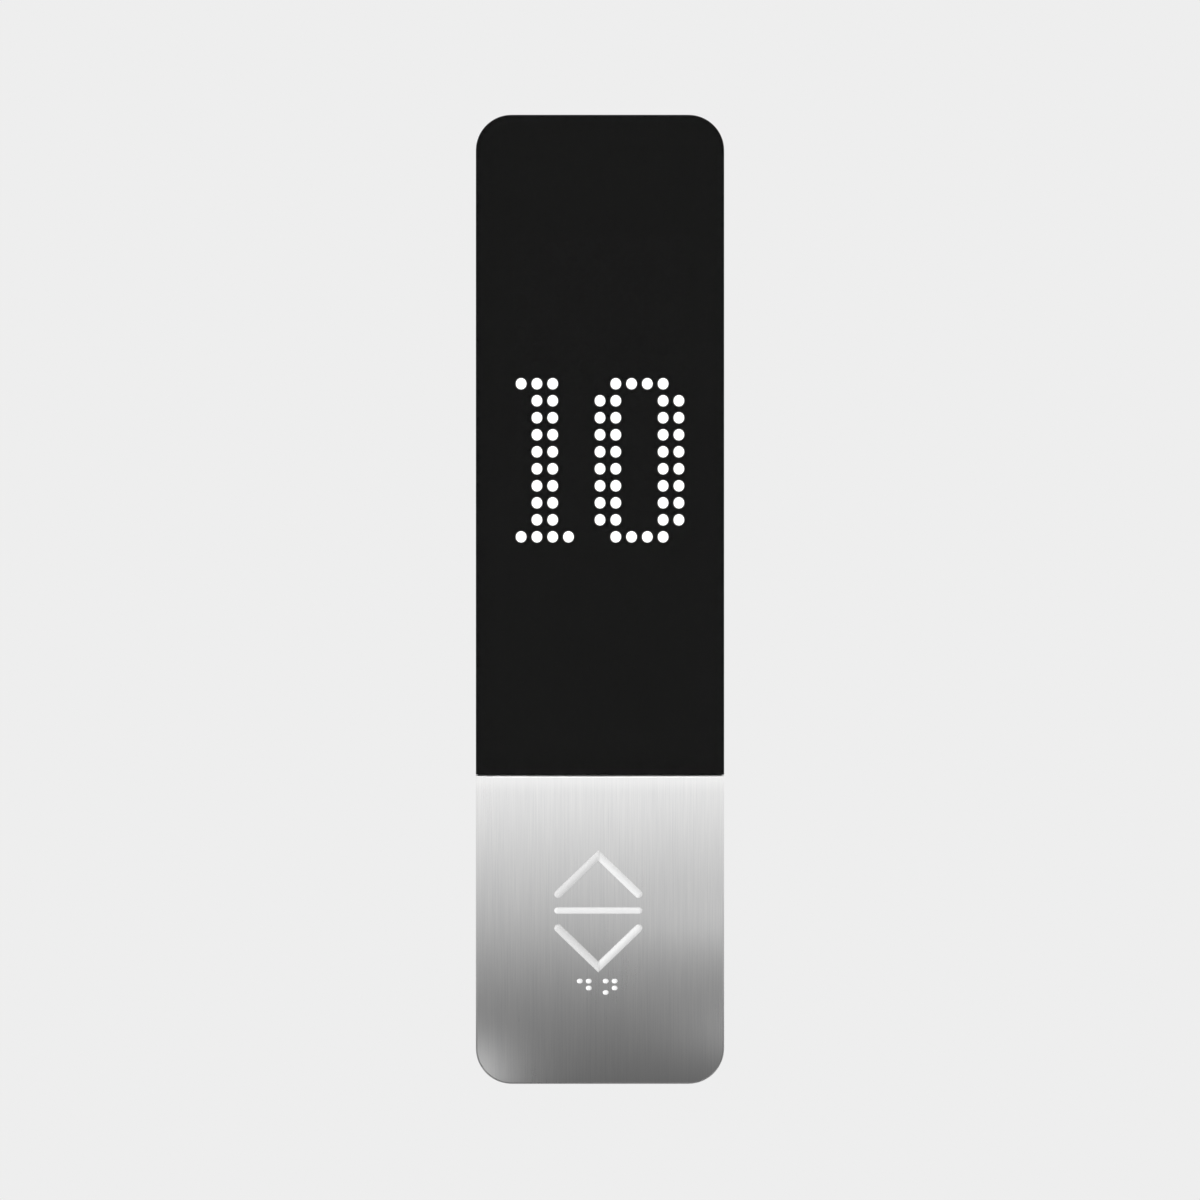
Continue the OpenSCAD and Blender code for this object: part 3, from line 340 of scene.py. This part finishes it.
def foam():
    """Black foam with open pores."""
    s = Shader("foam")
    pores = s.cells(0.28 * MM, output="Distance")
    slow = s.noise(6 * MM, 2.0)
    s.set(
        Base_Color=s.mix(
            s.span(pores, 0.1, 0.7), (0.012, 0.012, 0.012, 1), (0.04, 0.04, 0.042, 1)
        ),
        Roughness=s.span(slow, 0.3, 0.7, 0.86, 0.95),
        Normal=s.bump(pores, 0.05 * MM),
        Specular_IOR_Level=0.25,
    )
    return s.mat


def board():
    """Green solder mask over copper: tracks that run up or across by areas, pours, and tinned
    vias."""
    s = Shader("board")
    # Each area has a number of its own, from 0 to 1: tracks up, tracks across, then pours
    area = s.axis("X", s.cells(9 * MM, jitter=0.8))
    tracks = []
    for name, pitch, stretch in (("X", 0.92, (4, 1, 0.4)), ("Z", 0.8, (0.4, 1, 4))):
        wave = s.math("SINE", s.math("MULTIPLY", s.axis(name), 2 * math.pi / (pitch * MM)))
        runs = s.span(s.noise(7 * MM, 1.0, 0.5, stretch), 0.44, 0.47)
        tracks.append(s.math("MULTIPLY", s.span(wave, 0.1, 0.35), runs))
    copper = s.mix(s.span(area, 0.449, 0.451), *tracks)
    copper = s.mix(s.span(area, 0.779, 0.781), copper, WHITE)
    via = s.cells(4.2 * MM, output="Distance", jitter=0.85)
    pad = s.span(via, 0.105, 0.085)
    hole = s.span(via, 0.05, 0.04)
    weave = s.noise(0.35 * MM, 1.0)
    mask = s.mix(copper, (0.005, 0.06, 0.026, 1), (0.012, 0.12, 0.052, 1))
    mask = s.mix(s.span(weave, 0.3, 0.7, 0.0, 0.25), mask, (0.008, 0.085, 0.038, 1))
    tinned = s.mix(pad, mask, (0.62, 0.63, 0.64, 1))
    s.set(
        Base_Color=s.mix(hole, tinned, (0.01, 0.01, 0.01, 1)),
        Metallic=s.math("SUBTRACT", pad, hole),
        Roughness=s.span(weave, 0.3, 0.7, 0.26, 0.36),
        Normal=s.bump(s.math("ADD", copper, s.math("MULTIPLY", weave, 0.2)), 0.03 * MM),
        Coat_Weight=0.2,
        Coat_Roughness=0.15,
    )
    return s.mat


def lit_dot():
    """Diffusing pins that glow, dimmer at their rims."""
    s = Shader("lit_dot")
    fine = s.noise(0.2 * MM, 2.0)
    # Along each axis, in mm: the pins' pitch, the place of one pin and half of its width
    grid = [("X", 4.58, 0.0, 1.585), ("Z", 4.94, 62.6, 1.69)]
    squares = []
    for name, pitch, start, half in grid:
        place = s.math("DIVIDE", s.math("SUBTRACT", s.axis(name), start * MM), pitch * MM)
        offset = s.math("SUBTRACT", place, s.math("ROUND", place))
        squares.append(s.math("POWER", s.math("MULTIPLY", offset, pitch / half), 2.0))
    reach = s.math("SQRT", s.math("ADD", *squares))
    rim = s.span(reach, 0.8, 0.97, smooth=True)
    s.set(
        Base_Color=s.mix(fine, (0.85, 0.86, 0.87, 1), (0.92, 0.92, 0.92, 1)),
        Roughness=0.45,
        Emission_Color=s.mix(rim, WHITE, even(0.1)),
        Emission_Strength=7.5,
    )
    return s.mat


def dark_dot():
    """Pins that are not lit, nearly as dark as the print around them."""
    s = Shader("dark_dot")
    fine = s.noise(0.2 * MM, 2.0)
    s.set(
        Base_Color=s.mix(fine, (0.003, 0.003, 0.003, 1), (0.005, 0.005, 0.005, 1)),
        Roughness=s.span(fine, 0.3, 0.7, 0.6, 0.7),
        Specular_IOR_Level=0.1,
    )
    return s.mat


def ribbon():
    """Flat cable: tinned conductors along z under a polyester film, with blue stiffened ends."""
    s = Shader("ribbon")
    lo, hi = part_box("link_cable")
    pitch = 1.0 * MM
    stiff, fade = 2.0 * MM, 2.1 * MM
    wave = s.math("SINE", s.math("MULTIPLY", s.axis("X"), 2 * math.pi / pitch))
    metal = s.span(wave, -0.25, -0.05)
    fine = s.noise(0.4 * MM, 2.0)
    film = s.mix(metal, (0.70, 0.71, 0.72, 1), (0.46, 0.47, 0.48, 1))
    film = s.mix(s.span(fine, 0.3, 0.7, 0.0, 0.25), film, (0.76, 0.77, 0.78, 1))
    z = s.axis("Z")
    upper = s.span(z, hi[2] - fade, hi[2] - stiff)
    lower = s.span(z, lo[2] + fade, lo[2] + stiff)
    s.set(
        Base_Color=s.mix(s.math("MAXIMUM", upper, lower), film, (0.02, 0.09, 0.34, 1)),
        Roughness=s.span(fine, 0.3, 0.7, 0.24, 0.34),
        Normal=s.bump(metal, 0.04 * MM),
        Coat_Weight=0.4,
        Coat_Roughness=0.1,
    )
    return s.mat


def carrier_white():
    """White plastic with a faint glow, which is painted light that keeps the gaps above it pale."""
    s = plastic("carrier", (0.72, 0.72, 0.7, 1), 0.42, 0.2, 0.005, 0.05)
    # The glow is painted light that lightens the gaps round the lenses
    s.set(Emission_Color=WHITE, Emission_Strength=0.35)
    return s.mat


def spring_steel():
    """Bright drawn metal with a fine grain."""
    s = Shader("spring_steel")
    grain = s.noise(0.1 * MM, 2.0)
    s.set(
        Base_Color=s.mix(grain, (0.42, 0.42, 0.43, 1), (0.6, 0.6, 0.6, 1)),
        Metallic=1.0,
        Roughness=s.span(grain, 0.3, 0.7, 0.2, 0.32),
        Normal=s.bump(grain, 0.003 * MM),
    )
    return s.mat


def phosphor():
    """The yellow filling of a light source's window."""
    s = Shader("phosphor")
    grain = s.noise(0.08 * MM, 2.0)
    s.set(
        Base_Color=s.mix(grain, (0.86, 0.62, 0.10, 1), (0.93, 0.74, 0.2, 1)),
        Roughness=s.span(grain, 0.3, 0.7, 0.3, 0.42),
        Normal=s.bump(grain, 0.004 * MM),
    )
    return s.mat


FINISH = {
    "galvanised_steel": galvanised(),
    "zinc_screw": zinc(),
    "smoked_glass": smoked_glass(),
    "black_print": black_print(),
    "foam_tape": foam(),
    "brushed_cover": brushed_steel(),
    "board_green": board(),
    "dot_lit": lit_dot(),
    "dot_dark": dark_dot(),
    "capacitor_can": spring_steel(),
    "flat_cable": ribbon(),
    "pearl_white": pearl_white(),
    "carrier_white": carrier_white(),
    "spring_steel": spring_steel(),
}
# Slot, then what plastic() takes
for slot, *look in [
    ("black_rubber", "rubber", (0.022, 0.022, 0.023, 1), 0.72, 0.2, 0.01, 0.15, 0.35),
    ("housing_plastic", "housing", tone(52, 53, 55), 0.46, 0.3, 0.02, 0.1),
    ("led_white", "led", (0.75, 0.75, 0.7, 1), 0.35, 0.1, 0.003, 0.06),
    ("well_black", "wells", (0.004, 0.004, 0.004, 1), 0.6, 0.3, 0.01, 0.2, 0.1),
    ("chip_black", "chip", (0.018, 0.018, 0.019, 1), 0.5, 0.12, 0.006, 0.15),
    ("connector_ivory", "connector", (0.66, 0.6, 0.47, 1), 0.4, 0.15, 0.004, 0.06),
    ("frame_black", "frame_black", (0.014, 0.014, 0.015, 1), 0.5, 0.2, 0.01, 0.15),
    ("terminal_green", "terminal", (0.02, 0.26, 0.1, 1), 0.38, 0.2, 0.006, 0.1),
    ("switch_black", "switch_black", (0.02, 0.02, 0.021, 1), 0.4, 0.12, 0.004, 0.15),
    ("plunger_red", "plunger", (0.5, 0.03, 0.025, 1), 0.35, 0.12, 0.003, 0.08),
]:
    FINISH[slot] = plastic(*look).mat

for node in NODES.values():
    for i, old in enumerate(node.data.materials):
        node.data.materials[i] = FINISH[old.name.split(".")[0]]
# The raised dots are whiter than the lenses, whose slot they share
NODES["raised_dots"].data.materials[0] = pin_white()


def soften(name, width, segments):
    """Joins a node's faces and rounds its sharp edges a little."""
    node = NODES[name]
    node.modifiers.new("weld", "WELD").merge_threshold = SAME_POINT
    bevel = node.modifiers.new("bevel", "BEVEL")
    bevel.width = width
    bevel.segments = segments
    bevel.limit_method = "ANGLE"
    bevel.angle_limit = SHARP_ANGLE
    bevel.use_clamp_overlap = True
    bevel.harden_normals = True


def stand_in(name, copy_name, body):
    """A copy of a node's mesh that takes the node's place."""
    obj = bpy.data.objects.new(copy_name, NODES[name].data.copy())
    bpy.context.scene.collection.objects.link(obj)
    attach(obj, body)
    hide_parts(name)
    return obj


def set_back(name, front, depth, body):
    """A copy of a node whose front face stands depth behind where the node's own is."""
    obj = stand_in(name, name + "_layer", body)
    for v in obj.data.vertices:
        if abs(v.co.y - front) < SAME_POINT:
            v.co.y += depth


def return_springs(side):
    """A key's pair of springs, with rounder wire."""
    name = side + "_springs"
    obj = stand_in(name, side + "_coils", side + "_key")
    obj.modifiers.new("weld", "WELD").merge_threshold = SAME_POINT
    obj.modifiers.new("round", "SUBSURF").render_levels = 1
    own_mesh(obj)


# Node, the width of its rounded edges in mm, and their segments
for name, width, segments in [
    ("steel_cover", 0.16, 3),
    ("front_glass", 0.12, 2),
    ("housing", 0.2, 2),
    ("wall_plate", 0.15, 2),
    ("cable_grommet", 0.2, 2),
    ("clamp_screw", 0.12, 2),
    ("bus_terminal", 0.12, 2),
    ("up_carrier", 0.1, 2),
    ("down_carrier", 0.1, 2),
    ("key_frame", 0.1, 2),
    ("cover_nuts", 0.1, 2),
    ("controller_chip", 0.1, 2),
    ("driver_chips", 0.1, 2),
    ("link_connectors", 0.12, 2),
    ("buzzer", 0.2, 2),
    ("key_leds", 0.06, 1),
    ("up_switch", 0.06, 2),
    ("down_switch", 0.06, 2),
]:
    soften(name, width * MM, segments)
for side in ("up", "down"):
    return_springs(side)
# The print's front face would otherwise lie in the glass's rear face
print_front = -15 * MM
set_back("glass_print", print_front, 0.02 * MM, "front")


def islands(name):
    """The lowest and highest corners of each separate solid of a node."""
    bm = bmesh.new()
    bm.from_mesh(NODES[name].data)
    bmesh.ops.remove_doubles(bm, verts=bm.verts, dist=SAME_POINT)
    bm.verts.ensure_lookup_table()
    met, boxes = set(), []
    for first in bm.verts:
        if first.index in met:
            continue
        met.add(first.index)
        todo, group = [first], []
        while todo:
            v = todo.pop()
            group.append(v.co)
            for e in v.link_edges:
                other = e.other_vert(v)
                if other.index not in met:
                    met.add(other.index)
                    todo.append(other)
        boxes.append([[f(c[i] for c in group) for i in range(3)] for f in (min, max)])
    bm.free()
    return sorted(boxes)


def new_object(name, bm, mat):
    """An object with the mesh that bm holds, and one material."""
    mesh = bpy.data.meshes.new(name)
    bm.to_mesh(mesh)
    bm.free()
    mesh.materials.append(mat)
    obj = bpy.data.objects.new(name, mesh)
    bpy.context.scene.collection.objects.link(obj)
    return obj


def piece(name, bm, mat, body="front"):
    """A small piece of the scene's own, on a body of the part."""
    bmesh.ops.recalc_face_normals(bm, faces=bm.faces)
    obj = new_object(name, bm, mat)
    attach(obj, body)


def join_rings(bm, rings):
    """Faces between rings of points, which have as many points each."""
    count = len(rings[0])
    for r, s in zip(rings, rings[1:]):
        for k in range(count):
            bm.faces.new([r[k], r[(k + 1) % count], s[(k + 1) % count], s[k]])


def sweep(bm, path, across, width, thick):
    """A strip of even thickness along a path of points, closed at both ends."""
    across = Vector(across)
    rings = []
    for i, p in enumerate(path):
        before = path[max(i - 1, 0)]
        after = path[min(i + 1, len(path) - 1)]
        along = (Vector(after) - Vector(before)).normalized()
        lift = across.cross(along).normalized()
        if lift.dot(TO_THE_FRONT) < 0:
            lift = -lift
        rings.append([
            bm.verts.new(Vector(p) + across * (u * width / 2) + lift * (v * thick / 2))
            for u, v in [(-1, -1), (1, -1), (1, 1), (-1, 1)]
        ])
    join_rings(bm, rings)
    bm.faces.new(rings[0][::-1])
    bm.faces.new(rings[-1])


def leads(bm, lo, hi, out, pitch, width):
    """Gull-wing leads in two rows, on the low and the high side of a chip's box along the axis
    out. Pitch and width are in mm."""
    row = 2 - out
    across = (0, 0, 1) if out == 0 else (1, 0, 0)
    thick, end_margin = 0.15 * MM, 1.2 * MM
    foot = hi[1] - 0.09 * MM
    shoulder = hi[1] - 0.6 * (hi[1] - lo[1])
    # How far out of the chip each bend of a lead lies, in mm, and its depth
    bends = [
        (-0.2, shoulder), (0.3, shoulder), (0.48, shoulder + 0.08 * MM),
        (0.62, foot - 0.12 * MM), (0.78, foot), (1.25, foot),
    ]
    count = int((hi[row] - lo[row] - end_margin) / (pitch * MM)) + 1
    for side, edge in ((-1, lo[out]), (1, hi[out])):
        for i in range(count):
            along = (lo[row] + hi[row]) / 2 + (i - (count - 1) / 2) * pitch * MM
            path = []
            for reach, y in bends:
                p = [0, y, 0]
                p[out] = edge + side * reach * MM
                p[row] = along
                path.append(p)
            sweep(bm, path, across, width * MM, thick)


def chip_leads():
    """The leads of the controller, on four sides, and of the drivers, above and below."""
    x, z = 0, 2
    bm = bmesh.new()
    for name, pitch, width, axes in [
        ("controller_chip", 0.8, 0.32, (x, z)),
        ("driver_chips", 1.27, 0.4, (z,)),
    ]:
        for lo, hi in islands(name):
            for out in axes:
                leads(bm, lo, hi, out, pitch, width)
    piece("chip_leads", bm, FINISH["spring_steel"])


def phosphor_windows():
    """The yellow window on each light source, a low dome on its front face."""
    corners, share = 14, 0.36
    # Each ring's share of the window's radius, and how far it lies behind the front face, in mm
    rows = ((1.0, 0.05), (1.0, -0.01), (0.8, -0.06), (0.45, -0.09))
    turns = [2 * math.pi * k / corners for k in range(corners)]
    bm = bmesh.new()
    for name in ("display_leds", "key_leds"):
        for lo, hi in islands(name):
            c = Vector([(a + b) / 2 for a, b in zip(lo, hi)])
            r = share * min(hi[0] - lo[0], hi[2] - lo[2])
            rings = []
            for size, y in rows:
                rings.append([
                    bm.verts.new((
                        c.x + size * r * math.cos(a), lo[1] + y * MM, c.z + size * r * math.sin(a)
                    ))
                    for a in turns
                ])
            join_rings(bm, rings)
            bm.faces.new(rings[0])
            bm.faces.new(rings[-1])
    piece("phosphor_windows", bm, phosphor())


chip_leads()
phosphor_windows()

# The room: a pale floor, a white surround, soft lamps and shaded cards for the steel to mirror.
BACKGROUND = grey(238)
ROOM_LIGHT = even(0.66)


def floor():
    """A pale floor that ends in the background's own tone, and that can't be seen from below."""
    radius, height, soft_reach = 9.0, -0.36, 1.5
    s = Shader("floor")
    s.set(Base_Color=grey(236), Roughness=0.9, Specular_IOR_Level=0.1)
    glow = s.add("ShaderNodeEmission", {"Color": BACKGROUND, "Strength": 1.0})
    clear = s.add("ShaderNodeBsdfTransparent")
    near = s.spot((0, 0, 0), soft_reach)
    far = s.math("MULTIPLY", s.math("SUBTRACT", 1.0, near), s.seen())
    top = s.add("ShaderNodeMixShader", {0: far, 1: s.bsdf, 2: glow})
    back = s.add("ShaderNodeNewGeometry").outputs["Backfacing"]
    s.put(s.out.inputs["Surface"], s.add("ShaderNodeMixShader", {0: back, 1: top, 2: clear}))
    bm = bmesh.new()
    bmesh.ops.create_circle(bm, cap_ends=True, segments=128, radius=radius)
    obj = new_object("floor", bm, s.mat)
    obj.location = (0, 0, height)


def tent():
    """Shaded cards round the lower part, in front, at the sides and below, that only its metal
    sees. A bright strip above them lights the top edge of the metal."""
    front, top, low = -0.075, -0.03, -0.2
    strip_z, strip_x, strip_light = -0.018, 0.034, 3.0
    bm = bmesh.new()
    plan = [(-0.1, -0.004), (-0.1, -0.04), (-0.085, -0.066), (-0.06, front)]
    plan += [(-x, y) for x, y in reversed(plan)]
    ring = [[bm.verts.new((x, y, z)) for x, y in plan] for z in (top, low)]
    for i in range(len(plan) - 1):
        bm.faces.new([ring[0][i], ring[0][i + 1], ring[1][i + 1], ring[1][i]])
    bm.faces.new(ring[1])
    strip = [(-strip_x, -0.0184), (strip_x, -0.0184), (strip_x, -0.06), (-strip_x, -0.06)]
    bm.faces.new([bm.verts.new((x, y, strip_z)) for x, y in strip])

    s = Shader("tent")
    # The cards get darker from fade_top down to fade_low: share of the way, and the light there
    fade_top, fade_low = -0.035, -0.1475
    stops = [
        (0.0, 1.29), (0.155, 1.03), (0.325, 0.785), (0.51, 0.595), (0.66, 0.362), (0.83, 0.195),
        (1.0, 0.118),
    ]
    fall = s.add("ShaderNodeValToRGB", {"Fac": s.span(s.axis("Z"), fade_top, fade_low)})
    ramp = fall.color_ramp
    ramp.interpolation = "B_SPLINE"
    while len(ramp.elements) < len(stops):
        ramp.elements.new(0.5)
    for element, (at, level) in zip(ramp.elements, stops):
        element.position = at
        element.color = even(level)
    # The lower front is lighter, because the steel mirrors it in views from above
    under_z, under_y, under_light = (-0.164, -0.192), (-0.052, -0.07), 0.55
    under = s.math("MULTIPLY", s.span(s.axis("Z"), *under_z), s.span(s.axis("Y"), *under_y))
    light = s.mix(under, fall, even(under_light))
    on_strip = s.math("GREATER_THAN", s.axis("Z"), top + 0.001)
    light = s.mix(on_strip, light, even(strip_light))
    # Brighter places on the front card: centre, size, stretch and the light that they add
    for centre, size, stretch, level in [
        ((-0.042, front, -0.142), 0.021, (1.5, 1, 1.1), 1.45),
        ((0.036, front, -0.0965), 0.03, (0.7, 1, 2.7), 0.165),
        ((0.046, front, -0.129), 0.024, (0.8, 1, 1.7), 0.25),
    ]:
        light = s.mix(s.spot(centre, size, stretch), light, even(level), "ADD")
    glow = s.add("ShaderNodeEmission", {"Color": light, "Strength": 1.0})
    clear = s.add("ShaderNodeBsdfTransparent")
    mirror = s.add("ShaderNodeLightPath").outputs["Is Singular Ray"]
    s.put(s.out.inputs["Surface"], s.add("ShaderNodeMixShader", {0: mirror, 1: glow, 2: clear}))

    obj = new_object("tent", bm, s.mat)
    obj.visible_camera = False
    obj.visible_diffuse = False
    obj.visible_shadow = False
    obj.visible_transmission = False
    obj.visible_volume_scatter = False


def surround():
    """The background, which lights the part a little less than it looks."""
    world = bpy.data.worlds.new("surround")
    world.use_nodes = True
    bpy.context.scene.world = world
    room = Nodes(world.node_tree)
    back = room.tree.nodes["Background"]
    room.put(back.inputs["Color"], room.mix(room.seen(), ROOM_LIGHT, BACKGROUND))
    room.put(back.inputs["Strength"], 1.0)


def lamp(name, at, size, power, shiny=False):
    """A soft lamp that faces the middle of the part. Only a shiny one shows in mirrors."""
    data = bpy.data.lights.new(name, "AREA")
    data.shape = "RECTANGLE"
    data.size, data.size_y = size
    data.energy = power
    obj = bpy.data.objects.new(name, data)
    obj.location = at
    obj.rotation_euler = (-Vector(at)).to_track_quat("-Z", "Y").to_euler()
    obj.visible_camera = False
    obj.visible_glossy = shiny
    bpy.context.scene.collection.objects.link(obj)


floor()
tent()
surround()
lamp("key", (-1.25, -0.8, -0.1), (0.9, 0.44), 7.2)
lamp("low", (-0.4, -0.24, -0.27), (0.12, 0.12), 0.32)
lamp("top", (0.1, -0.35, 1.3), (1.3, 0.9), 3)
lamp("rear_left", (-1.0, 1.2, 0.5), (0.9, 0.9), 7)
lamp("rear_right", (1.1, 1.0, 0.2), (0.9, 0.9), 1.9, shiny=True)

camera = bpy.data.cameras.new("camera")
camera.lens = 240.35
camera.sensor_width = 36
camera.clip_end = 60
eye = bpy.data.objects.new("camera", camera)
eye.location = (0, -2.341, -0.0002)
eye.rotation_euler = (math.pi / 2, 0, 0)
bpy.context.scene.collection.objects.link(eye)
bpy.context.scene.camera = eye
bpy.context.scene.view_settings.view_transform = "Standard"
